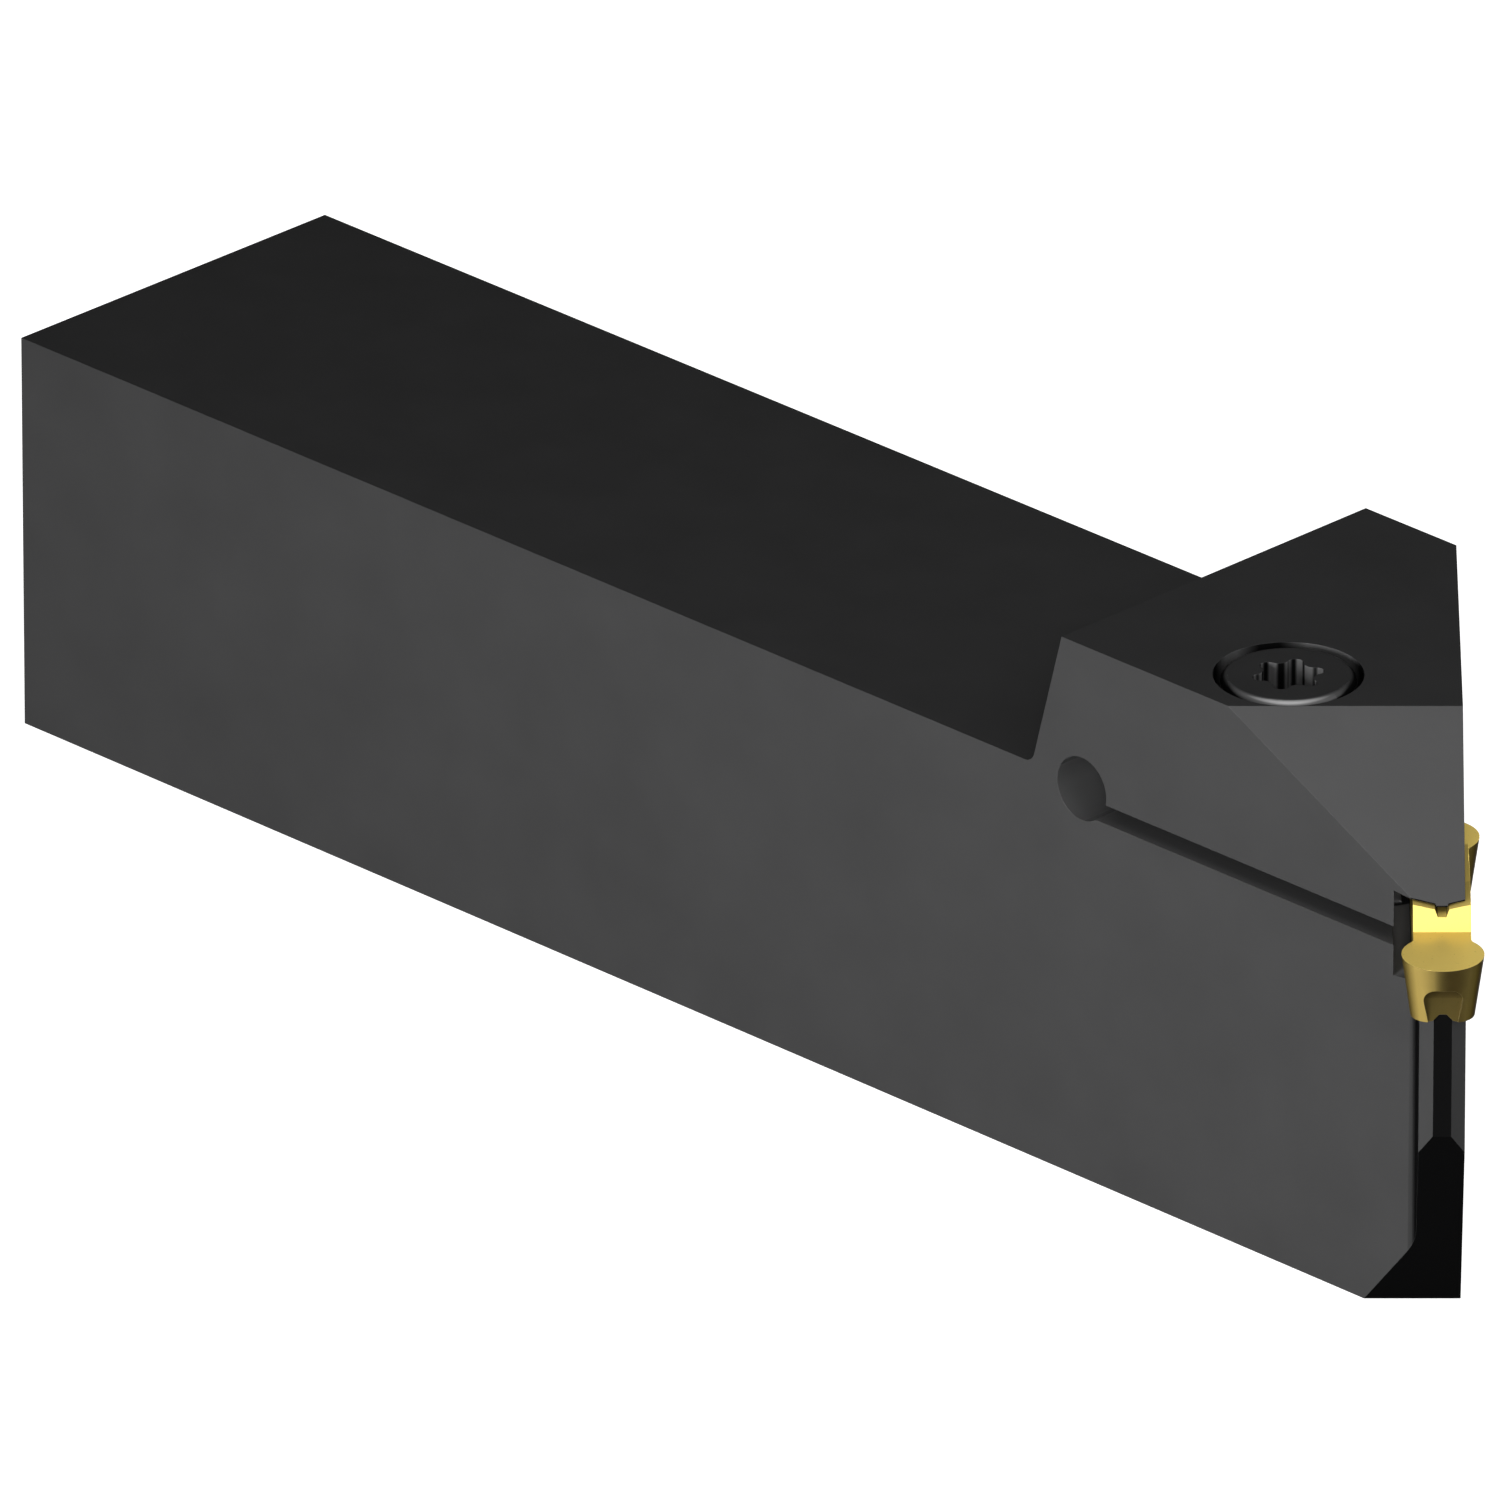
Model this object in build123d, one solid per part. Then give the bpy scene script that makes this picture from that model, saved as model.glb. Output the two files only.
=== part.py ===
from build123d import *
import os
from math import cos, radians, sin, tan

# Left-hand profiling tool holder, millimetres. X runs along the square shank from its rear
# face to the cutting head, Y runs across it from the shank's middle, Z is up from its base.
# The head frame has its origin at the centre of the cutting nose, at the height of the
# cutting edge, with x towards the cut, y across the insert and z up.

# Shank, and how far the cutting nose reaches from its rear face and from its far side
shank_width = 31.75
shank_height = 31.75
functional_length = 152.9
functional_width = 37.05
insert_angle = 45.0

# Raised head on the shank, with its leaning back wall
head_rise = 11.05
head_length = 43.9
back_wall_lean = 15.0
back_wall_fillet = 1.0

# Nose of the jaw: a slope down from the head's top, with a blunt lower edge
slope_setback = 18.6
slope_angle = 35.0
jaw_edge_land = 0.1
jaw_lead_length = 2.12
jaw_lead_angle = 6.0

# Blade that carries the insert, and the relief below it
blade_width = 3.36
blade_reach = 1.8
blade_root_fillet = 2.0
root_fillet_share = 0.9
relief_angle = 30.0
relief_foot_setback = 10.4

# Double-ended insert with a full-radius nose at each end and a raised clamping land
nose_radius = 3.0
insert_length = 26.0
web_width = 4.2
flank_relief = 8.0
neck_fillet = 0.6
edge_above_seat = 4.39
land_rise = 1.35
land_setback = 4.64
land_slope_angle = 54.0

# Shallow vee on the insert's land and base, with a central rail in a groove on each
vee_angle = 10.0
groove_top_width = 1.05
groove_bottom_width = 0.62
groove_depth = 0.47
jaw_rail_height = 0.13
seat_rail_width = 1.34
seat_rail_height = 0.4
seat_rail_lean = 45.0
rail_clearance = 0.06

# Notch low on each end of the insert; the rear one stands against the stop
notch_top_width = 3.26
notch_bottom_width = 2.15
notch_height = 2.76
notch_reach = 2.0
notch_face_lean = 14.0
notch_corner_radius = 0.98
notch_roof_radius = 0.88
stop_clearance = 0.15

# Pocket beside the insert
pocket_side_clearance = 0.45
pocket_back_fillet = 0.35
nose_clearance = 0.3
passage_overlap = 1.2

# Kerf that frees the jaw, and the round hole that ends it
kerf_width = 1.5
kerf_below_edge = 1.73
kerf_hole_diameter = 5.0
kerf_hole_above_kerf = 1.28
kerf_hole_inset = 2.12

# Clamp screw, behind the nose and in from the shank's near side, with a six-lobe socket
screw_setback = 27.73
screw_inset = 7.04
screw_diameter = 6.0
screw_length = 20.0
screw_head_diameter = 10.0
screw_head_height = 5.0
screw_head_edge_radius = 0.65
screw_tip_chamfer = 0.9
socket_diameter = 5.35
socket_core_diameter = 3.85
socket_lobe_radius = 0.58
socket_valley_radius = 0.65
socket_depth = 2.9
socket_lobes = 6
counterbore_clearance = 0.52
hole_clearance = 0.3
tapped_hole_spare = 2.5

# Cutting tools reach this far past what they cut
overrun = 5.0

half_shank = shank_width / 2
half_blade = blade_width / 2
nose_pitch = insert_length - 2 * nose_radius
pocket_half_width = nose_radius + pocket_side_clearance
lead_start = -land_setback - jaw_lead_length
lead_slope = tan(radians(jaw_lead_angle))
jaw_slope = tan(radians(slope_angle))
vee_slope = tan(radians(vee_angle))
flank_slope = tan(radians(flank_relief))
head = Plane(
    origin=(
        functional_length - nose_radius,
        half_shank - functional_width + nose_radius,
        shank_height,
    ),
    x_dir=(cos(radians(insert_angle)), -sin(radians(insert_angle)), 0),
    z_dir=(0, 0, 1),
)


def in_head(x, y):
    """Shank coordinates, in plan, of a point given in the head frame."""
    point = head.from_local_coords(Vector(x, y, 0))
    return point.X, point.Y


def crossing_of_side(y, side):
    """Head-frame x at which the line at y meets the shank's side at Y = side."""
    angle = radians(insert_angle)
    return (head.origin.Y + y * cos(angle) - side) / sin(angle)


def along_insert(outline, start, end):
    """Prism of a (y, z) outline, along the insert from x = start to x = end."""
    plane = Plane(origin=(start, 0, 0), x_dir=(0, 1, 0), z_dir=(1, 0, 0))
    return extrude(plane * Polygon(*outline, align=None), end - start)


def across_insert(sketch, half_width):
    """Prism of an (x, z) sketch, across the insert from y = -half_width to half_width."""
    plane = Plane(origin=(0, half_width, 0), x_dir=(1, 0, 0), z_dir=(0, -1, 0))
    return extrude(plane * sketch, 2 * half_width)


def both_sides(right_half):
    """Line from left to right, from its right half listed outwards from the middle."""
    left_half = [(-y, z) for y, z in reversed(right_half)]
    return left_half + right_half


def seat_height(y):
    """Height of the vee under the insert, beside its rail."""
    return -edge_above_seat - vee_slope * (abs(y) - seat_rail_width / 2)


def land_height(y):
    """Height of the vee on the insert's clamping land, beside its groove."""
    return land_rise + vee_slope * (abs(y) - groove_top_width / 2)


def seat_line(reach, gap):
    """Seat's vee and rail as (y, z) points, with the rail grown by a gap."""
    rail_height = seat_rail_height + gap
    foot = seat_rail_width / 2 + gap
    crest = foot - rail_height * tan(radians(seat_rail_lean))
    return both_sides([
        (crest, seat_height(foot) + rail_height),
        (foot, seat_height(foot)),
        (reach, seat_height(reach)),
    ])


def land_line(reach, depth, gap):
    """Clamping vee and its groove, filled to a depth and narrowed by a gap."""
    taper = (groove_top_width - groove_bottom_width) / 2 / groove_depth
    mouth = groove_top_width / 2 - gap
    return both_sides([
        (mouth - taper * depth, land_height(mouth) - depth),
        (mouth, land_height(mouth)),
        (reach, land_height(reach)),
    ])


def jaw_line():
    """Underside of the jaw, with the rail that enters the insert's groove."""
    return land_line(pocket_half_width, jaw_rail_height, rail_clearance)


def plan_outline():
    """Outline of the whole body seen from above, with the blade's chamfered front."""
    flat = seat_rail_width / 2
    chamfer = half_blade - flat
    shoulder = blade_reach - chamfer
    root_x = crossing_of_side(-half_blade, -half_shank)
    outline = Polygon(
        (0, -half_shank),
        in_head(root_x, -half_blade),
        in_head(shoulder, -half_blade),
        in_head(blade_reach, -flat),
        in_head(blade_reach, flat),
        in_head(shoulder, half_blade),
        in_head(crossing_of_side(half_blade, half_shank), half_blade),
        (0, half_shank),
        align=None,
    )
    root = outline.vertices().sort_by_distance((*in_head(root_x, -half_blade), 0))[0]
    side_limit = root_fillet_share * (shoulder - root_x) / tan(radians(insert_angle / 2))
    return fillet(root, min(blade_root_fillet, side_limit))


def above_shank():
    """Space over the shank, back to the leaning wall of the head."""
    lean = tan(radians(back_wall_lean))
    foot = functional_length - head_length - head_rise * lean
    high = shank_height + head_rise + overrun
    outline = Polygon(
        (-overrun, shank_height),
        (foot, shank_height),
        (foot + (head_rise + overrun) * lean, high),
        (-overrun, high),
        align=None,
    )
    root = outline.vertices().sort_by_distance((foot, shank_height, 0))[0]
    side = Plane(origin=(0, half_shank + overrun, 0), x_dir=(1, 0, 0), z_dir=(0, -1, 0))
    return extrude(side * fillet(root, back_wall_fillet), shank_width + 2 * overrun)


def above_jaw():
    """Space over the jaw's sloping nose."""
    run = slope_setback + blade_reach + overrun
    outline = Polygon(
        (-slope_setback, head_rise),
        (run - slope_setback, head_rise - run * jaw_slope),
        (run - slope_setback, head_rise + overrun),
        (-slope_setback, head_rise + overrun),
        align=None,
    )
    return across_insert(outline, functional_length)


def before_jaw():
    """Space in front of the jaw's blunt edge, which keeps one thickness along its vee."""
    front = blade_reach + overrun
    level = head_rise - jaw_slope * slope_setback - jaw_edge_land + lead_slope * lead_start
    edge = [((level - z) / (jaw_slope + lead_slope), y) for y, z in jaw_line()]
    outline = Polygon((front, -pocket_half_width), (front, pocket_half_width), *reversed(edge), align=None)
    return extrude(outline, head_rise)


def below_blade():
    """Space in front of the relief that leans back under the blade."""
    lean = tan(radians(relief_angle))
    low = -shank_height - overrun
    rise = shank_height + 2 * overrun
    back = blade_reach - relief_foot_setback - overrun * lean
    outline = Polygon(
        (back, low),
        (back + rise * lean, low),
        (back + rise * lean, low + rise),
        align=None,
    )
    return across_insert(outline, functional_length)


def nose_space():
    """Space round the rear nose: a cone with the flank's lean, open to the head's far side."""
    low = seat_height(nose_radius) - overrun
    high = land_rise + overrun
    low_radius = nose_radius + nose_clearance + low * flank_slope
    high_radius = nose_radius + nose_clearance + high * flank_slope
    cone = Pos(0, 0, (low + high) / 2) * Cone(low_radius, high_radius, high - low)
    way_in = along_insert(
        [(-low_radius, low), (low_radius, low), (high_radius, high), (-high_radius, high)],
        0,
        overrun,
    )
    way_out = along_insert(
        [(0, low), (pocket_half_width, low), (pocket_half_width, high), (0, high)],
        -nose_radius - nose_clearance,
        overrun,
    )
    return Pos(-nose_pitch, 0, 0) * (cone + way_in + way_out)


def pocket():
    """Everything cut away for the insert, with the jaw's lead-in, round the rear stop."""
    outline = [*seat_line(pocket_half_width, 0), *reversed(jaw_line())]
    wall = passage_overlap - nose_pitch
    back = -nose_pitch - nose_radius - overrun
    front = blade_reach + overrun
    floor = seat_height(pocket_half_width)
    side = Polygon((wall, floor), (front, floor), (front, head_rise), (wall, head_rise), align=None)
    foot = side.vertices().sort_by_distance((wall, floor, 0))[0]
    side = fillet(foot, pocket_back_fillet)
    passage = along_insert(outline, wall, front) & across_insert(side, pocket_half_width)
    section = Plane(origin=(lead_start, 0, 0), x_dir=(0, 1, 0), z_dir=(1, 0, 0))
    lead_in = extrude(
        section * Polygon(*outline, align=None),
        front - lead_start,
        dir=(cos(radians(jaw_lead_angle)), 0, sin(radians(jaw_lead_angle))),
    )
    behind = along_insert(outline, back, front) & nose_space()
    return passage + lead_in + behind - turned_to_rear(notch_space(stop_clearance))


def notch_space(gap):
    """Notch in an insert's end at +x, narrowed by a gap beside and above."""
    floor = seat_height(notch_bottom_width / 2)
    top = floor + notch_height - gap
    low = floor - overrun
    low_half = notch_bottom_width / 2 - gap
    top_half = notch_top_width / 2 - gap
    face = Polygon(
        (-low_half, low),
        (low_half, low),
        (low_half, floor),
        (top_half, top),
        (-top_half, top),
        (-low_half, floor),
        align=None,
    )
    corners = face.vertices().group_by(Axis.Y)[-1]
    section = Plane(origin=(0, 0, 0), x_dir=(0, 1, 0), z_dir=(1, 0, 0))
    across = extrude(section * fillet(corners, notch_corner_radius), nose_radius + overrun)
    lean = tan(radians(notch_face_lean))
    back = notch_reach - (top - floor) * lean
    side = Polygon(
        (notch_reach + overrun * lean, low),
        (nose_radius + overrun, low),
        (nose_radius + overrun, top),
        (back, top),
        align=None,
    )
    roof = side.vertices().sort_by_distance((back, top, 0))[0]
    return across & across_insert(fillet(roof, notch_roof_radius), nose_radius)


def turned_to_rear(shape):
    """The same shape at the insert's rear end."""
    return Pos(-nose_pitch, 0, 0) * (Rot(0, 0, 180) * shape)


def kerf():
    """Saw kerf between the jaw and the seat, and the round hole at its end."""
    hole_x = functional_length - head_length + kerf_hole_inset
    kerf_z = shank_height - kerf_below_edge
    slot_length = functional_length + overrun - hole_x
    slot = Pos(hole_x + slot_length / 2, 0, kerf_z) * Box(slot_length, 2 * functional_width, kerf_width)
    hole = Cylinder(kerf_hole_diameter / 2, shank_width + 2 * overrun, rotation=(90, 0, 0))
    return slot + Pos(hole_x, 0, kerf_z + kerf_hole_above_kerf) * hole


def screw_place():
    """Location of the screw's axis, at the height of the cutting edge."""
    return Pos(functional_length - screw_setback, screw_inset - half_shank, shank_height)


def drilled(diameter, top, bottom):
    """Upright cylinder on the screw's axis, between two heights over the cutting edge."""
    middle = (top + bottom) / 2
    return screw_place() * Pos(0, 0, middle) * Cylinder(diameter / 2, top - bottom)


def screw_holes():
    """Counterbore and clearance hole in the jaw, and the tapped hole below the kerf."""
    shoulder = head_rise - screw_head_height
    tip = shoulder - screw_length
    counterbore = drilled(screw_head_diameter + 2 * counterbore_clearance, head_rise + overrun, shoulder)
    clearance = drilled(screw_diameter + 2 * hole_clearance, head_rise, -kerf_below_edge)
    tapped = drilled(screw_diameter, -kerf_below_edge, tip - tapped_hole_spare)
    return counterbore + clearance + tapped


def holder_body():
    """Shank, blade and spring jaw, milled from one bar."""
    body = extrude(plan_outline(), shank_height + head_rise)
    body -= above_shank()
    for cut in (above_jaw(), below_blade(), before_jaw(), pocket()):
        body -= head.location * cut
    return body - kerf() - screw_holes()


def socket_outline():
    """Six-lobe socket: round lobes about a core, with their valleys rounded."""
    lobe = Pos(socket_diameter / 2 - socket_lobe_radius, 0) * Circle(socket_lobe_radius)
    outline = Circle(socket_core_diameter / 2)
    for index in range(socket_lobes):
        outline += Rot(0, 0, index * 360 / socket_lobes) * lobe
    return fillet(outline.vertices(), socket_valley_radius)


def clamp_screw():
    """Socket-head cap screw, its head's top level with the jaw's."""
    shoulder = head_rise - screw_head_height
    screw_head = drilled(screw_head_diameter, head_rise, shoulder)
    rim = screw_head.edges().group_by(Axis.Z)[-1]
    screw_head = fillet(rim, screw_head_edge_radius)
    shank = drilled(screw_diameter, shoulder, shoulder - screw_length)
    shank = chamfer(shank.edges().group_by(Axis.Z)[0], screw_tip_chamfer)
    socket = extrude(screw_place() * Pos(0, 0, head_rise) * socket_outline(), -socket_depth)
    return screw_head + shank - socket


def insert_plan():
    """Two leaning cones joined by the web, with the necks between them rounded."""
    low = seat_height(nose_radius)
    high = land_height(nose_radius)
    low_radius = nose_radius + low * flank_slope
    high_radius = nose_radius + high * flank_slope
    nose = Pos(0, 0, (low + high) / 2) * Cone(low_radius, high_radius, high - low)
    web = Pos(-nose_pitch / 2, 0, (low + high) / 2) * Box(nose_pitch, web_width, high - low)
    blank = nose + web + turned_to_rear(nose)
    return fillet(blank.edges().filter_by(GeomType.HYPERBOLA), neck_fillet)


def insert_side():
    """Rake, clamping land and base of the insert, as seen from its side."""
    steepness = tan(radians(land_slope_angle))
    high = land_height(nose_radius)
    foot = land_rise / steepness - land_setback
    crest = foot - high / steepness
    low = seat_height(nose_radius) - overrun
    outline = Polygon(
        (nose_radius + overrun, low),
        (nose_radius + overrun, 0),
        (foot, 0),
        (crest, high),
        (-nose_pitch - crest, high),
        (-nose_pitch - foot, 0),
        (-nose_pitch - nose_radius - overrun, 0),
        (-nose_pitch - nose_radius - overrun, low),
        align=None,
    )
    return across_insert(outline, nose_radius + overrun)


def cutting_insert():
    """Double-ended insert with a full-radius nose, seated in the pocket."""
    bottom = seat_line(nose_radius, rail_clearance)
    top = land_line(nose_radius, groove_depth, 0)
    reach = nose_radius + overrun
    section = along_insert([*bottom, *reversed(top)], -nose_pitch - reach, reach)
    blank = insert_plan() & insert_side() & section
    notch = notch_space(0)
    return head.location * (blank - notch - turned_to_rear(notch))


if __name__ == "__main__":
    os.makedirs("parts", exist_ok=True)
    for make in (holder_body, clamp_screw, cutting_insert):
        piece = make()
        piece.label = make.__name__
        export_step(piece, f"parts/{make.__name__}.step")
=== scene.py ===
import bpy
from math import cos, pi, radians, sin, tau
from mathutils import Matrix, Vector


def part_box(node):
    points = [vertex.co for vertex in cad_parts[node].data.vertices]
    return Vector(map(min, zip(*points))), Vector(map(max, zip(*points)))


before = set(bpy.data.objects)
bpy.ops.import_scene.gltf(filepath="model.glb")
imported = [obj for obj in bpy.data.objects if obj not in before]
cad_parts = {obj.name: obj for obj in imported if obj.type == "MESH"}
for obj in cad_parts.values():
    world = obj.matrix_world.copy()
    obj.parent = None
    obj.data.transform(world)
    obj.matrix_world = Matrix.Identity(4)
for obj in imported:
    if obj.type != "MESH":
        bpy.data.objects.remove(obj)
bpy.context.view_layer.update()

MILLIMETRE = 0.001

# Camera of the photograph: a long lens, 45 degrees to the shank and 25 degrees above it
CAMERA_PLACE = (1.81893, -1.75774, 1.17161)
CAMERA_AIM = (-0.64090, 0.64087, -0.42254)
CAMERA_LENS = 888.1
SENSOR_WIDTH = 36

# Screw: its box and middle, the reach of its counterbore, its head, thread and turned rings
SCREW_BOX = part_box("clamp_screw")
SCREW_MIDDLE = (Vector(SCREW_BOX[0]) + Vector(SCREW_BOX[1])) / 2
BORE_REACH = 5.8 * MILLIMETRE
SCREW_HEAD_HEIGHT = 5 * MILLIMETRE
THREAD_PITCH = 1 * MILLIMETRE
RING_PITCH = 0.11 * MILLIMETRE

# Heights on the tool where painted light and shade change
SEAT_LEVEL = 26.5 * MILLIMETRE
KERF_LEVEL = 28.5 * MILLIMETRE
EDGE_LEVEL = 31.5 * MILLIMETRE
GROOVE_LEVEL = 32.4 * MILLIMETRE
LAND_LEVEL = 32.7 * MILLIMETRE

# Axes of round places, and how far out from them their painted light and shade reach
HOLE_MIDDLE = (111.12 * MILLIMETRE, 0, 31.3 * MILLIMETRE)
HOLE_REACH = 2.55 * MILLIMETRE
NOSE_MIDDLE = (149.9 * MILLIMETRE, -18.175 * MILLIMETRE, 0)
NOSE_REACH = 3.05 * MILLIMETRE
NOTCH_REACH = 2.2 * MILLIMETRE

# Directions: in plan along the insert, across the blade and to the side, and up, sloped or not
ALONG_INSERT = (0.7071, -0.7071, 0)
BACK_FROM_NOSE = (-0.7071, 0.7071, 0)
RIGHT_OF_NOSE = (0.857, -0.515, 0)
ACROSS_BLADE = (-0.7071, -0.7071, 0)
ACROSS_TO_FAR_SIDE = (0.7071, 0.7071, 0)
NEAR_SIDE = (0, -1, 0)
UPWARDS = (0, 0, 1)
JAW_SLOPE = (0.579, -0.579, 0.574)
TOWARDS_CAMERA = (0.5, -0.5, 0.7071)
OVER_CAMERA = (0.36, -0.36, 0.86)

# Stretches along a direction: its vector, and the distances where a painted tone of light or
# shade starts and is full
PAST_BACK_WALL = (ALONG_INSERT, 104.9 * MILLIMETRE, 105.1 * MILLIMETRE)
PAST_REAR_SPACE = (ALONG_INSERT, 100.4 * MILLIMETRE, 100.6 * MILLIMETRE)
TO_SEAT_END = (ALONG_INSERT, 107.5 * MILLIMETRE, 112.5 * MILLIMETRE)
BEHIND_JAW_END = (ALONG_INSERT, 110.1 * MILLIMETRE, 109.9 * MILLIMETRE)
IN_FAR_HALF = (ACROSS_TO_FAR_SIDE, 94.5 * MILLIMETRE, 94.7 * MILLIMETRE)

# Ways a surface faces: a direction, and its share in the normal where a tone starts and is full;
# most of these tones are painted light, shade or highlight
ON_JAW_SLOPE = (JAW_SLOPE, 0.93, 0.97)
TOWARDS_NOSE = (ALONG_INSERT, 0.75, 0.85)
NOT_LEVEL = (UPWARDS, 0.5, 0.3)
ON_BORE_WALL = (UPWARDS, 0.3, 0)
ON_BLADE_ROOT = (ACROSS_BLADE, 0.74, 0.93)
LEVEL = (UPWARDS, 0.9, 0.95)
ON_HOLE_WALL = (NEAR_SIDE, 0.2, 0.1)
ON_PAINTED_DARK_BANDS = (
    (RIGHT_OF_NOSE, 0.88, 0.99),
    (ACROSS_BLADE, 0.82, 0.95),
    (ACROSS_TO_FAR_SIDE, 0.82, 0.95),
)
ON_SOCKET_WALL = (UPWARDS, 0.2, 0)
ON_RIM = (UPWARDS, 0.1, 0.3)
ON_PAINTED_DARK_RIMS = (
    (ACROSS_BLADE, 0.3, 0.65),
    (ACROSS_TO_FAR_SIDE, 0.3, 0.65),
    (BACK_FROM_NOSE, 0.3, 0.65),
)
ON_NEAR_RIM = (TOWARDS_CAMERA, 0.75, 0.98)
ON_RIM_GLINT = (OVER_CAMERA, 0.94, 0.995)
ON_NEAR_FLANK = (NEAR_SIDE, 0.6, 0.98)
ON_RIGHT_FLANK = (RIGHT_OF_NOSE, 0.88, 0.99)
ON_FAR_FLANK = (ACROSS_TO_FAR_SIDE, 0.8, 0.93)
ON_LEFT_FLANK = (ACROSS_BLADE, 0.69, 1.04)
ON_NOTCH_ROOF = (UPWARDS, 0.24, -0.15)
ON_INSERT_SLOPE = (UPWARDS, 0.4, 0.55)
ON_INSERT_TOP = (UPWARDS, 0.72, 0.9)
ON_FAR_TOP = (UPWARDS, 0.85, 0.95)
ON_GROOVE_FLOOR = (UPWARDS, 0.98, 0.99)

# Colours, linear; many of them are painted light, shade and highlights, as marked
STEEL_COLOUR = (0.042, 0.042, 0.0424)
# Painted shade: near-black on the blade's front and root and on the screw rim's far sides, and
# dark bands of painted shade and reflection on round walls
STEEL_PAINTED_SHADE = (0.004, 0.004, 0.0041)
# Painted light: lighter floors in the kerf and at the seat's rear, where little light reaches
STEEL_FLOOR_PAINTED_LIGHT = (0.085, 0.085, 0.0857)
# Painted light: the jaw's slope is lighter where light falls on it
STEEL_SLOPE_PAINTED_LIGHT = (0.104, 0.104, 0.1048)
# Painted light on the insert's seat, fading to a weaker painted light towards its end, where the
# lamps reach
STEEL_SEAT_PAINTED_LIGHT = (0.50, 0.50, 0.503)
STEEL_SEAT_END_PAINTED_LIGHT = (0.07, 0.07, 0.071)
# Painted light on the pocket's back wall, which faces the nose
STEEL_BACK_PAINTED_LIGHT = (0.30, 0.30, 0.302)
# Painted highlight and glint on the screw head's rim, on its side towards the camera
STEEL_RIM_PAINTED_HIGHLIGHT = (0.12, 0.12, 0.121)
STEEL_PAINTED_GLINT = (0.30, 0.30, 0.302)
STEEL_WORN = (0.10, 0.10, 0.101)
# Painted light: lighter walls in the screw's socket, its counterbore and the cross hole, where
# little light reaches
SOCKET_WALL_PAINTED_LIGHT = (0.13, 0.13, 0.131)
ROUND_WALL_PAINTED_LIGHT = (0.10, 0.10, 0.101)
# Painted highlight on the insert's slope, also painted light on the groove floor
GOLD_SLOPE_AND_GROOVE_PAINTED_LIGHT = (0.95, 0.715, 0.178)
# Painted light: the far half of the insert's top is lighter
GOLD_FAR_PAINTED_LIGHT = (0.88, 0.665, 0.172)
GOLD_RAKE = (0.699, 0.527, 0.138)
# Lighter gold along the edges
GOLD_EDGE_TONE = (0.60, 0.48, 0.20)
GOLD_WARM = (0.45, 0.28, 0.06)
# Painted light and shade on the insert's flanks: lighter towards the near side, dim elsewhere,
# near-black where turned from the light and in the notch's roof
GOLD_NEAR_FLANK_PAINTED_LIGHT = (0.262, 0.194, 0.055)
GOLD_FLANK_PAINTED_SHADE = (0.077, 0.061, 0.019)
GOLD_DEEP_PAINTED_SHADE = (0.021, 0.0165, 0.006)
FLOOR_COLOUR = (0.60, 0.60, 0.60)
WHITE = (1, 1, 1)

# Noise: cycles per metre, detail and stretch along each axis
STEEL_MOTTLE = (160, 5)
STEEL_GRAIN = (5200, 3)
STEEL_LINES = (900, 4, (0.03, 2.2, 2.2))
SCREW_MOTTLE = (260, 4)
SCREW_GRAIN = (6000, 3)
GOLD_HUE = (420, 3)
GOLD_GRAIN = (9000, 2)
GOLD_LINES = (2600, 3, (1, 1, 0.05))

# Mottled film: darkest and lightest share of a colour
STEEL_SHADES = (0.88, 1.12)
SCREW_SHADES = (0.8, 1.04)

# Worn edges: how far the normal turns on them, their radii, and how patches of the film break
# them; how far the gold's edges turn lighter; and how far the gold turns warmer
EDGE_SAMPLES = 4
EDGE_TURN = (0.8, 0.995)
EDGE_RADIUS = 0.05 * MILLIMETRE
SCREW_EDGE_RADIUS = 0.1 * MILLIMETRE
BROKEN_WEAR = (0.1, 0.6, 0.35, 0.65)
GOLD_EDGE_SHARE = (0, 0.25)
GOLD_WARMTH = (0, 0.08)

# Roughness: least and most across the lines, or rings from -1 to 1, and what the grain adds
STEEL_ROUGHNESS = (0.33, 0.43)
SCREW_ROUGHNESS = (0.29, 0.34, -1, 1)
GOLD_ROUGHNESS = (0.24, 0.34)
STEEL_GRAIN_ROUGHNESS = (-0.03, 0.03)
GOLD_GRAIN_ROUGHNESS = (-0.02, 0.04)

# Depths of the relief in the surfaces; the thread's is in metres already
STEEL_LINE_DEPTH = 0.004 * MILLIMETRE
STEEL_GRAIN_DEPTH = 0.003 * MILLIMETRE
SCREW_RING_DEPTH = 0.0006 * MILLIMETRE
SCREW_GRAIN_DEPTH = 0.002 * MILLIMETRE
THREAD_DEPTH_SCALE = 1
GOLD_LINE_DEPTH = 0.0015 * MILLIMETRE
GOLD_GRAIN_DEPTH = 0.0012 * MILLIMETRE

# Gloss: share of metal, level of clear gloss, and its tint at grazing angles
STEEL_GLOSS = (0.3, 0, 0.14)
GOLD_GLOSS = (0.35, 0, 0.4)

# Floor
FLOOR_SIZE = 12
FLOOR_CELLS = 4
FLOOR_DROP = 0.05 * MILLIMETRE
FLOOR_GLOW = 0.92

# Light: a dim even world, and lamps by angles in degrees and distance in metres from the head
WORLD_STRENGTH = 0.05
SEEN_WORLD_STRENGTH = 1
LIT_PLACE = (0.125, -0.01, 0.03)
LAMPS = {
    "light_over": dict(azimuth=-45, elevation=68, distance=0.3, size=0.25, brightness=1.8),
    "light_left": dict(azimuth=-84, elevation=3, distance=0.3, size=0.18, brightness=17.6),
    "light_right": dict(azimuth=45, elevation=26, distance=0.5, size=0.3, brightness=2.6),
    "light_behind_camera": dict(azimuth=-45, elevation=25, distance=3.2, size=0.5, brightness=21),
    "light_far_side": dict(azimuth=106, elevation=3, distance=0.6, size=0.1, brightness=70),
}


def shades(colour, least, most):
    """Darkest and lightest of a mottled colour."""
    return tuple(least * part for part in colour), tuple(most * part for part in colour)


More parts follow.
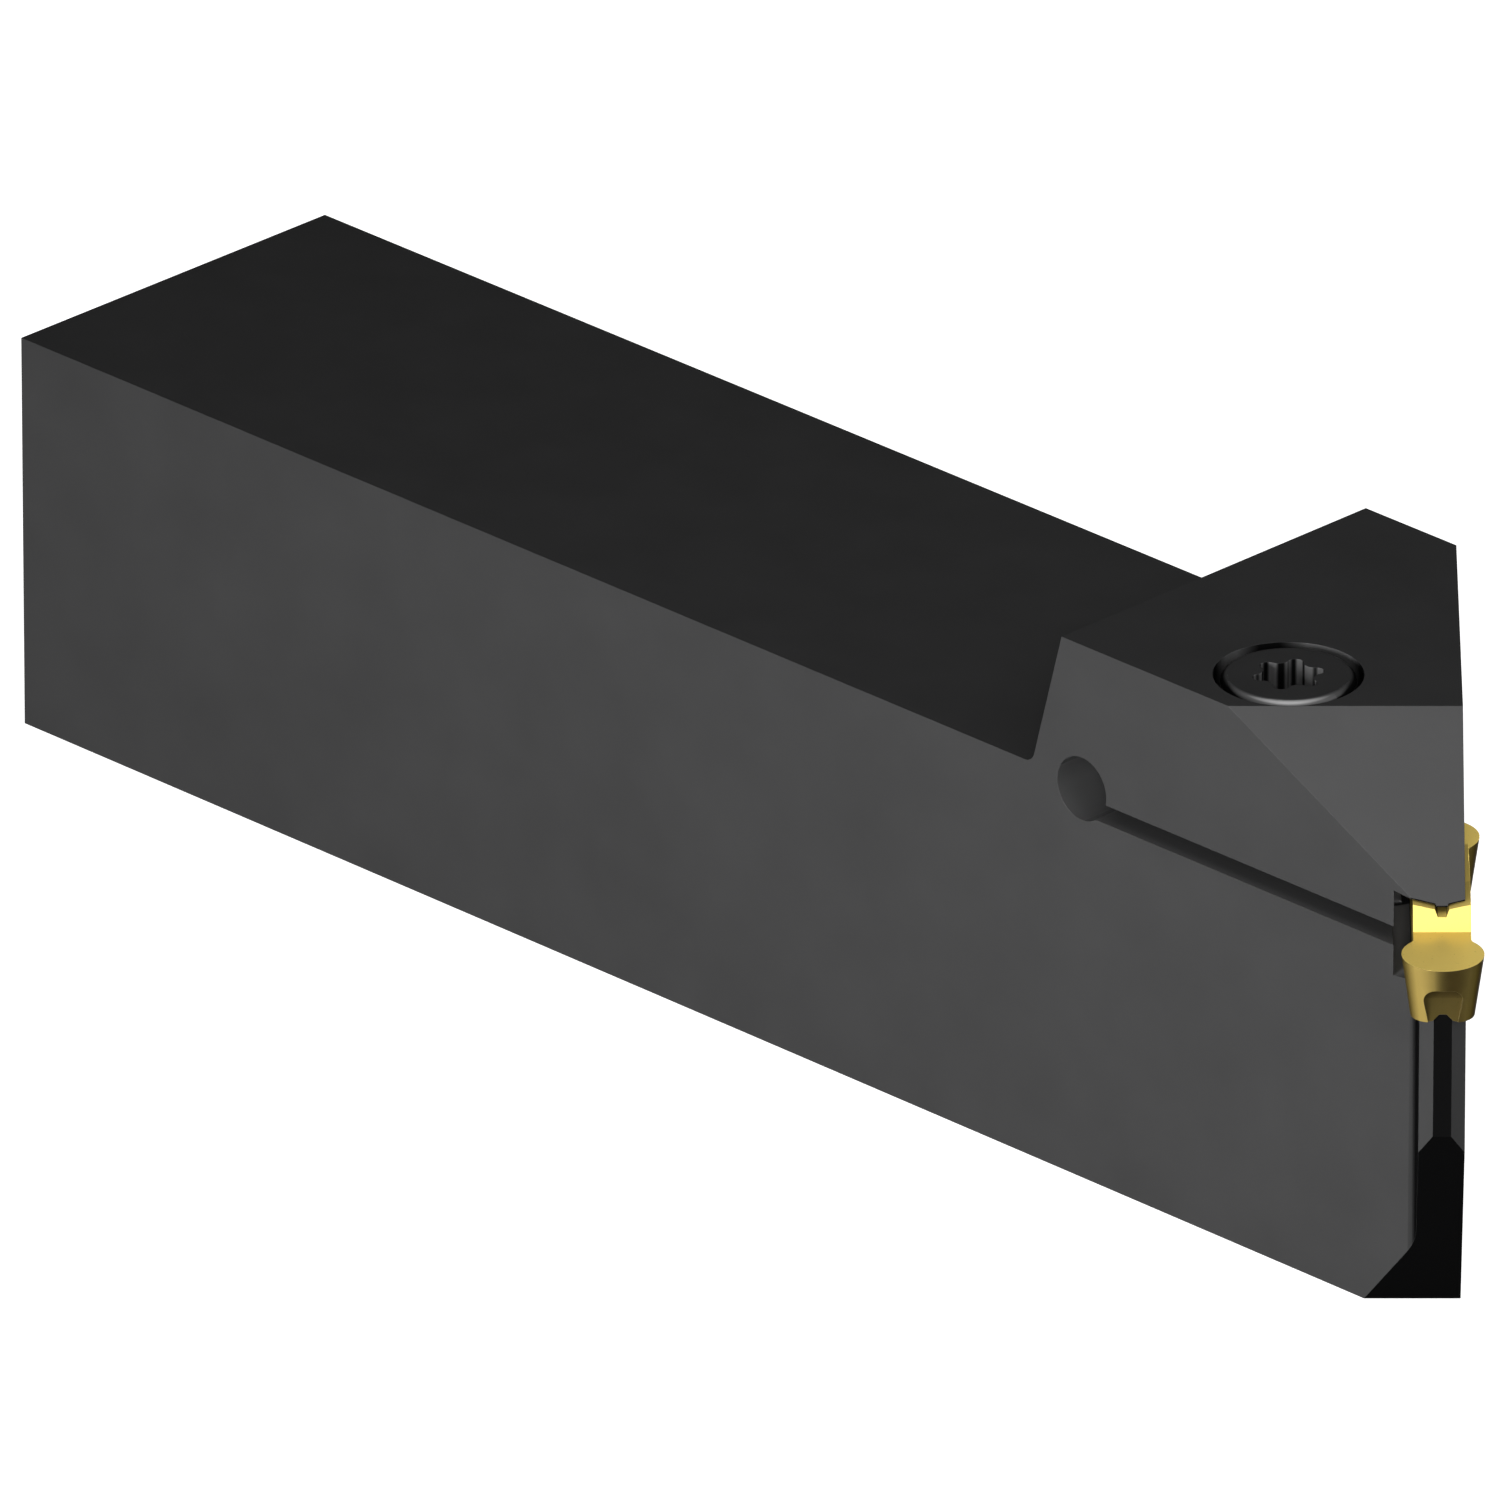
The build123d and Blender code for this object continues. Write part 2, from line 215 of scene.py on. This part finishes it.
class Shader:
    """A node tree of a material or world, with short calls to add nodes and join them."""

    def __init__(self, owner):
        owner.use_nodes = True
        self.tree = owner.node_tree
        self.surface = self.tree.nodes.get("Principled BSDF")

    def node(self, kind, **settings):
        made = self.tree.nodes.new(kind)
        for name, value in settings.items():
            setattr(made, name, value)
        return made

    def join(self, source, target):
        self.tree.links.new(source, target)

    def place(self):
        """Place of the shaded point on its object, in metres."""
        return self.node("ShaderNodeTexCoord").outputs["Object"]

    def facet(self):
        """Direction of the surface on its object."""
        return self.node("ShaderNodeTexCoord").outputs["Normal"]

    def parts(self, vector):
        """X, Y and Z of a vector, by name."""
        split = self.node("ShaderNodeSeparateXYZ")
        self.join(vector, split.inputs["Vector"])
        return split.outputs

    def share(self, vector, direction):
        """How far a vector goes along a fixed direction."""
        dot = self.node("ShaderNodeVectorMath", operation="DOT_PRODUCT")
        dot.inputs[1].default_value = direction
        self.join(vector, dot.inputs[0])
        return dot.outputs["Value"]

    def noise(self, scale, detail, stretch=(1, 1, 1)):
        """Noise from 0 to 1, with a scale in cycles per metre."""
        mapping = self.node("ShaderNodeMapping")
        mapping.inputs["Scale"].default_value = stretch
        self.join(self.place(), mapping.inputs["Vector"])
        texture = self.node("ShaderNodeTexNoise")
        texture.inputs["Scale"].default_value = scale
        texture.inputs["Detail"].default_value = detail
        self.join(mapping.outputs["Vector"], texture.inputs["Vector"])
        return texture.outputs["Fac"]

    def spread(self, value, low, high, from_low=0.0, from_high=1.0):
        """A value moved from one range to another."""
        remap = self.node("ShaderNodeMapRange")
        remap.inputs["From Min"].default_value = from_low
        remap.inputs["From Max"].default_value = from_high
        remap.inputs["To Min"].default_value = low
        remap.inputs["To Max"].default_value = high
        self.join(value, remap.inputs["Value"])
        return remap.outputs["Result"]

    def mix(self, share, first, second):
        """Colour between two colours, each a socket or a plain colour."""
        blend = self.node("ShaderNodeMix", data_type="RGBA")
        self.join(share, blend.inputs["Factor"])
        for socket, colour in ((blend.inputs["A"], first), (blend.inputs["B"], second)):
            if isinstance(colour, tuple):
                socket.default_value = (*colour, 1)
            else:
                self.join(colour, socket)
        return blend.outputs["Result"]

    def maths(self, operation, first, second=0):
        """Arithmetic on one or two values, each a socket or a number."""
        made = self.node("ShaderNodeMath", operation=operation)
        for socket, value in zip(made.inputs, (first, second)):
            if isinstance(value, (int, float)):
                socket.default_value = value
            else:
                self.join(value, socket)
        return made.outputs["Value"]

    def edge(self, radius):
        """Normal rounded over the edges, and a mask that is 1 on them and 0 on the faces."""
        bevel = self.node("ShaderNodeBevel", samples=EDGE_SAMPLES)
        bevel.inputs["Radius"].default_value = radius
        geometry = self.node("ShaderNodeNewGeometry")
        dot = self.node("ShaderNodeVectorMath", operation="DOT_PRODUCT")
        self.join(bevel.outputs["Normal"], dot.inputs[0])
        self.join(geometry.outputs["Normal"], dot.inputs[1])
        return bevel.outputs["Normal"], self.spread(dot.outputs["Value"], 1, 0, *EDGE_TURN)

    def bump(self, height, distance, normal):
        """Normal bent by a height map."""
        relief = self.node("ShaderNodeBump")
        relief.inputs["Distance"].default_value = distance
        self.join(height, relief.inputs["Height"])
        self.join(normal, relief.inputs["Normal"])
        return relief.outputs["Normal"]

    def facing(self, direction, start, full):
        """Mask that rises from 0 to 1 as the surface turns to a direction."""
        return self.spread(self.share(self.facet(), direction), 0, 1, start, full)

    def along(self, direction, start, full):
        """Mask that rises from 0 to 1 between two distances along a direction, in metres."""
        return self.spread(self.share(self.place(), direction), 0, 1, start, full)

    def height(self):
        """Height above the base, in metres."""
        return self.parts(self.place())["Z"]

    def below(self, level):
        """Mask that is 1 below a height and 0 above it."""
        return self.maths("LESS_THAN", self.height(), level)

    def above(self, level):
        """Mask that is 1 above a height and 0 below it."""
        return self.maths("GREATER_THAN", self.height(), level)

    def around(self, centre, axes="XY"):
        """Place across an axis through a centre, and distance from it, in metres."""
        shift = self.node("ShaderNodeVectorMath", operation="SUBTRACT")
        shift.inputs[1].default_value = centre
        self.join(self.place(), shift.inputs[0])
        parts = self.parts(shift.outputs["Vector"])
        first, second = (parts[name] for name in axes)
        squares = self.maths("ADD", self.maths("POWER", first, 2), self.maths("POWER", second, 2))
        return first, second, self.maths("SQRT", squares)

    def within(self, reach, centre, axes="XY"):
        """Mask that is 1 within a distance of an axis through a centre."""
        return self.maths("LESS_THAN", self.around(centre, axes)[2], reach)

    def all_of(self, *masks):
        """Mask that is 1 where all the given ones are."""
        joint = masks[0]
        for mask in masks[1:]:
            joint = self.maths("MULTIPLY", joint, mask)
        return joint

    def with_painted_dark_bands(self, colour, where):
        """Colour of a round wall with painted dark bands where it turns from the light: painted
        shade and reflection.
        """
        for band in ON_PAINTED_DARK_BANDS:
            colour = self.mix(self.all_of(where, self.facing(*band)), colour, STEEL_PAINTED_SHADE)
        return colour

    def seen(self, strength, otherwise):
        """One strength where it is seen, also in metal and through glass, and one for light."""
        path = self.node("ShaderNodeLightPath")
        rays = self.maths("ADD", path.outputs["Is Camera Ray"], path.outputs["Is Glossy Ray"])
        rays = self.maths("ADD", rays, path.outputs["Is Transmission Ray"])
        return self.spread(self.maths("MINIMUM", rays, 1), otherwise, strength)

    def finish(self, colour, roughness, normal, gloss):
        """Joins the surface's inputs, with its metal share, clear gloss and grazing tint."""
        metallic, specular, grazing = gloss
        self.join(colour, self.surface.inputs["Base Color"])
        self.join(roughness, self.surface.inputs["Roughness"])
        self.join(normal, self.surface.inputs["Normal"])
        self.surface.inputs["Metallic"].default_value = metallic
        self.surface.inputs["Specular IOR Level"].default_value = specular
        self.surface.inputs["Specular Tint"].default_value = (grazing, grazing, grazing, 1)


def oxide_steel(material):
    """Satin black-oxide steel: mottled film, fine grinding lines along the shank, worn edges, and
    painted light and shade: a lighter jaw slope, lighter walls and floors in the bore, hole, kerf
    and pocket, and a near-black blade front and root.
    """
    shader = Shader(material)
    normal, on_edge = shader.edge(EDGE_RADIUS)
    mottle = shader.noise(*STEEL_MOTTLE)
    grain = shader.noise(*STEEL_GRAIN)
    lines = shader.noise(*STEEL_LINES)
    colour = shader.mix(mottle, *shades(STEEL_COLOUR, *STEEL_SHADES))
    # Painted light: a lighter grey on the jaw's slope
    colour = shader.mix(shader.facing(*ON_JAW_SLOPE), colour, STEEL_SLOPE_PAINTED_LIGHT)

    # Painted light on the pocket's back wall, and painted shade, near-black, on the blade's front
    # faces beyond it
    front = shader.all_of(shader.facing(*TOWARDS_NOSE), shader.facing(*NOT_LEVEL))
    front_painted_light_and_shade = shader.mix(shader.along(*PAST_BACK_WALL), STEEL_BACK_PAINTED_LIGHT, STEEL_PAINTED_SHADE)
    colour = shader.mix(front, colour, front_painted_light_and_shade)

    # Painted light on the counterbore's wall, with dark bands of painted shade and reflection
    at_bore = shader.all_of(shader.within(BORE_REACH, SCREW_MIDDLE), shader.above(EDGE_LEVEL))
    bore = shader.all_of(shader.facing(*ON_BORE_WALL), at_bore)
    colour = shader.with_painted_dark_bands(shader.mix(bore, colour, ROUND_WALL_PAINTED_LIGHT), bore)

    # Painted shade: near-black on the blade's root
    root = shader.all_of(shader.facing(*ON_BLADE_ROOT), shader.below(SEAT_LEVEL))
    colour = shader.mix(root, colour, STEEL_PAINTED_SHADE)

    # Painted light on the level floors below the jaw's edge: the kerf floor and the seat are
    # lighter, the seat fading towards its end, where the lamps reach
    floor = shader.all_of(shader.facing(*LEVEL), shader.below(EDGE_LEVEL))
    seat_painted_light = shader.mix(shader.along(*PAST_REAR_SPACE), STEEL_FLOOR_PAINTED_LIGHT, STEEL_SEAT_PAINTED_LIGHT)
    seat_painted_light = shader.mix(shader.along(*TO_SEAT_END), seat_painted_light, STEEL_SEAT_END_PAINTED_LIGHT)
    colour = shader.mix(floor, colour, shader.mix(shader.below(KERF_LEVEL), STEEL_FLOOR_PAINTED_LIGHT, seat_painted_light))

    # Painted light on the cross hole's wall
    at_hole = shader.within(HOLE_REACH, HOLE_MIDDLE, "XZ")
    hole = shader.all_of(shader.facing(*ON_HOLE_WALL), at_hole)
    colour = shader.mix(hole, colour, ROUND_WALL_PAINTED_LIGHT)

    wear = shader.all_of(on_edge, shader.spread(mottle, *BROKEN_WEAR))
    colour = shader.mix(wear, colour, STEEL_WORN)
    grain_roughness = shader.spread(grain, *STEEL_GRAIN_ROUGHNESS)
    roughness = shader.maths("ADD", shader.spread(lines, *STEEL_ROUGHNESS), grain_roughness)
    normal = shader.bump(lines, STEEL_LINE_DEPTH, normal)
    normal = shader.bump(grain, STEEL_GRAIN_DEPTH, normal)
    shader.finish(colour, roughness, normal, STEEL_GLOSS)


def screw_steel(material):
    """Black-oxide screw: turned rings on its head, a threaded shank, painted light on the socket
    walls with painted dark bands, painted shade on the rim's far sides, and a painted highlight
    and glint on its near rim.
    """
    shader = Shader(material)
    normal = shader.edge(SCREW_EDGE_RADIUS)[0]
    mottle = shader.noise(*SCREW_MOTTLE)
    grain = shader.noise(*SCREW_GRAIN)
    x, y, radius = shader.around(SCREW_MIDDLE)
    rings = shader.maths("SINE", shader.maths("MULTIPLY", radius, tau / RING_PITCH))
    climb = shader.maths("MULTIPLY", shader.maths("ARCTAN2", y, x), THREAD_PITCH / tau)
    turned_back = shader.maths("SUBTRACT", shader.height(), climb)
    thread = shader.maths("PINGPONG", turned_back, THREAD_PITCH / 2)
    on_shank = shader.below(SCREW_BOX[1][2] - SCREW_HEAD_HEIGHT)
    thread = shader.maths("MULTIPLY", thread, on_shank)

    colour = shader.mix(mottle, *shades(STEEL_COLOUR, *SCREW_SHADES))
    # Painted light on the socket's walls, with dark bands of painted shade and reflection
    wall = shader.facing(*ON_SOCKET_WALL)
    colour = shader.with_painted_dark_bands(shader.mix(wall, colour, SOCKET_WALL_PAINTED_LIGHT), wall)
    # Painted shade: near-black on the rim's sides turned from the light
    for painted_dark_side in ON_PAINTED_DARK_RIMS:
        rim = shader.all_of(shader.facing(*painted_dark_side), shader.facing(*ON_RIM))
        colour = shader.mix(rim, colour, STEEL_PAINTED_SHADE)
    # Painted highlight and glint on the rim's side towards the camera
    colour = shader.mix(shader.facing(*ON_NEAR_RIM), colour, STEEL_RIM_PAINTED_HIGHLIGHT)
    colour = shader.mix(shader.facing(*ON_RIM_GLINT), colour, STEEL_PAINTED_GLINT)

    grain_roughness = shader.spread(grain, *STEEL_GRAIN_ROUGHNESS)
    roughness = shader.maths("ADD", shader.spread(rings, *SCREW_ROUGHNESS), grain_roughness)
    normal = shader.bump(rings, SCREW_RING_DEPTH, normal)
    normal = shader.bump(grain, SCREW_GRAIN_DEPTH, normal)
    normal = shader.bump(thread, THREAD_DEPTH_SCALE, normal)
    shader.finish(colour, roughness, normal, STEEL_GLOSS)


def gold_carbide(material):
    """Gold-coated carbide: warm shifts of hue, ground flanks, a fine grain and lighter edges,
    with painted shade on the flanks and the notch's roof, painted light on the near flank, the
    top's far half and the groove floor, and a painted highlight on the slope.
    """
    shader = Shader(material)
    normal, on_edge = shader.edge(EDGE_RADIUS)
    hue = shader.noise(*GOLD_HUE)
    grain = shader.noise(*GOLD_GRAIN)
    lines = shader.noise(*GOLD_LINES)

    # Painted light and shade on the flanks: dim, lighter towards the near side, near-black to the
    # right, far side and left of the nose and in the notch's roof
    near = shader.facing(*ON_NEAR_FLANK)
    colour = shader.mix(shader.all_of(near, near), GOLD_FLANK_PAINTED_SHADE, GOLD_NEAR_FLANK_PAINTED_LIGHT)
    colour = shader.mix(shader.facing(*ON_RIGHT_FLANK), colour, GOLD_DEEP_PAINTED_SHADE)
    colour = shader.mix(shader.facing(*ON_FAR_FLANK), colour, GOLD_DEEP_PAINTED_SHADE)
    left = shader.all_of(shader.facing(*ON_LEFT_FLANK), shader.within(NOSE_REACH, NOSE_MIDDLE))
    colour = shader.mix(left, colour, GOLD_DEEP_PAINTED_SHADE)
    roof = shader.all_of(shader.facing(*ON_NOTCH_ROOF), shader.within(NOTCH_REACH, NOSE_MIDDLE))
    colour = shader.mix(roof, colour, GOLD_DEEP_PAINTED_SHADE)

    # Painted highlight on the slope
    colour = shader.mix(shader.facing(*ON_INSERT_SLOPE), colour, GOLD_SLOPE_AND_GROOVE_PAINTED_LIGHT)
    colour = shader.mix(shader.facing(*ON_INSERT_TOP), colour, GOLD_RAKE)
    # Painted light on the top's far half
    far_half = shader.all_of(shader.along(*IN_FAR_HALF), shader.along(*BEHIND_JAW_END))
    far_top = shader.all_of(shader.facing(*ON_FAR_TOP), far_half)
    colour = shader.mix(far_top, colour, GOLD_FAR_PAINTED_LIGHT)
    # Painted light on the groove floor
    in_groove = shader.all_of(shader.above(GROOVE_LEVEL), shader.below(LAND_LEVEL))
    groove = shader.all_of(shader.facing(*ON_GROOVE_FLOOR), in_groove)
    colour = shader.mix(groove, colour, GOLD_SLOPE_AND_GROOVE_PAINTED_LIGHT)

    colour = shader.mix(shader.spread(hue, *GOLD_WARMTH), colour, GOLD_WARM)
    # Lighter gold along the edges
    colour = shader.mix(shader.spread(on_edge, *GOLD_EDGE_SHARE), colour, GOLD_EDGE_TONE)
    grain_roughness = shader.spread(grain, *GOLD_GRAIN_ROUGHNESS)
    roughness = shader.maths("ADD", shader.spread(lines, *GOLD_ROUGHNESS), grain_roughness)
    normal = shader.bump(lines, GOLD_LINE_DEPTH, normal)
    normal = shader.bump(grain, GOLD_GRAIN_DEPTH, normal)
    shader.finish(colour, roughness, normal, GOLD_GLOSS)


def paint_nodes():
    """Gives each piece of the tool its material."""
    makers = {
        "holder_body": ("black_oxide_steel", oxide_steel),
        "clamp_screw": ("screw_steel", screw_steel),
        "cutting_insert": ("coated_carbide", gold_carbide),
    }
    for piece_name, (material_name, make) in makers.items():
        material = bpy.data.materials.new(material_name)
        make(material)
        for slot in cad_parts[piece_name].material_slots:
            slot.material = material


def white_floor():
    """Pale floor that shows white to the camera and keeps a soft shadow."""
    bpy.ops.mesh.primitive_grid_add(
        x_subdivisions=FLOOR_CELLS,
        y_subdivisions=FLOOR_CELLS,
        size=FLOOR_SIZE,
        location=(0, 0, -FLOOR_DROP),
    )
    floor = bpy.context.object
    floor.name = "floor"
    material = bpy.data.materials.new("floor_white")
    shader = Shader(material)
    shader.tree.nodes.remove(shader.surface)
    diffuse = shader.node("ShaderNodeBsdfDiffuse")
    diffuse.inputs["Color"].default_value = (*FLOOR_COLOUR, 1)
    glow = shader.node("ShaderNodeEmission")
    shader.join(shader.seen(FLOOR_GLOW, 0), glow.inputs["Strength"])
    both = shader.node("ShaderNodeAddShader")
    shader.join(diffuse.outputs["BSDF"], both.inputs[0])
    shader.join(glow.outputs["Emission"], both.inputs[1])
    shader.join(both.outputs["Shader"], shader.tree.nodes["Material Output"].inputs["Surface"])
    floor.data.materials.append(material)


def softbox(name, azimuth, elevation, distance, size, brightness):
    """Square area light that faces the head from a direction, with its own brightness."""
    turn, lift = radians(azimuth), radians(elevation)
    direction = Vector((cos(lift) * cos(turn), cos(lift) * sin(turn), sin(lift)))
    data = bpy.data.lights.new(name, "AREA")
    data.shape = "SQUARE"
    data.size = size
    data.energy = brightness * pi * size * size
    lamp = bpy.data.objects.new(name, data)
    lamp.location = Vector(LIT_PLACE) + direction * distance
    lamp.rotation_euler = direction.to_track_quat("Z", "Y").to_euler()
    bpy.context.collection.objects.link(lamp)


def studio():
    """Soft light: the lamps, and a world that shows white and lights the tool dimly."""
    world = bpy.data.worlds.new("studio")
    shader = Shader(world)
    background = shader.tree.nodes["Background"]
    background.inputs["Color"].default_value = (*WHITE, 1)
    strength = shader.seen(SEEN_WORLD_STRENGTH, WORLD_STRENGTH)
    shader.join(strength, background.inputs["Strength"])
    bpy.context.scene.world = world
    for name, settings in LAMPS.items():
        softbox(name, **settings)


def photograph_camera():
    """Camera that sees the tool as the photograph does."""
    data = bpy.data.cameras.new("camera")
    data.lens = CAMERA_LENS
    data.sensor_width = SENSOR_WIDTH
    camera = bpy.data.objects.new("camera", data)
    camera.location = CAMERA_PLACE
    camera.rotation_euler = Vector(CAMERA_AIM).to_track_quat("-Z", "Y").to_euler()
    bpy.context.collection.objects.link(camera)
    bpy.context.scene.camera = camera


paint_nodes()
white_floor()
studio()
photograph_camera()
bpy.context.scene.view_settings.view_transform = "Standard"
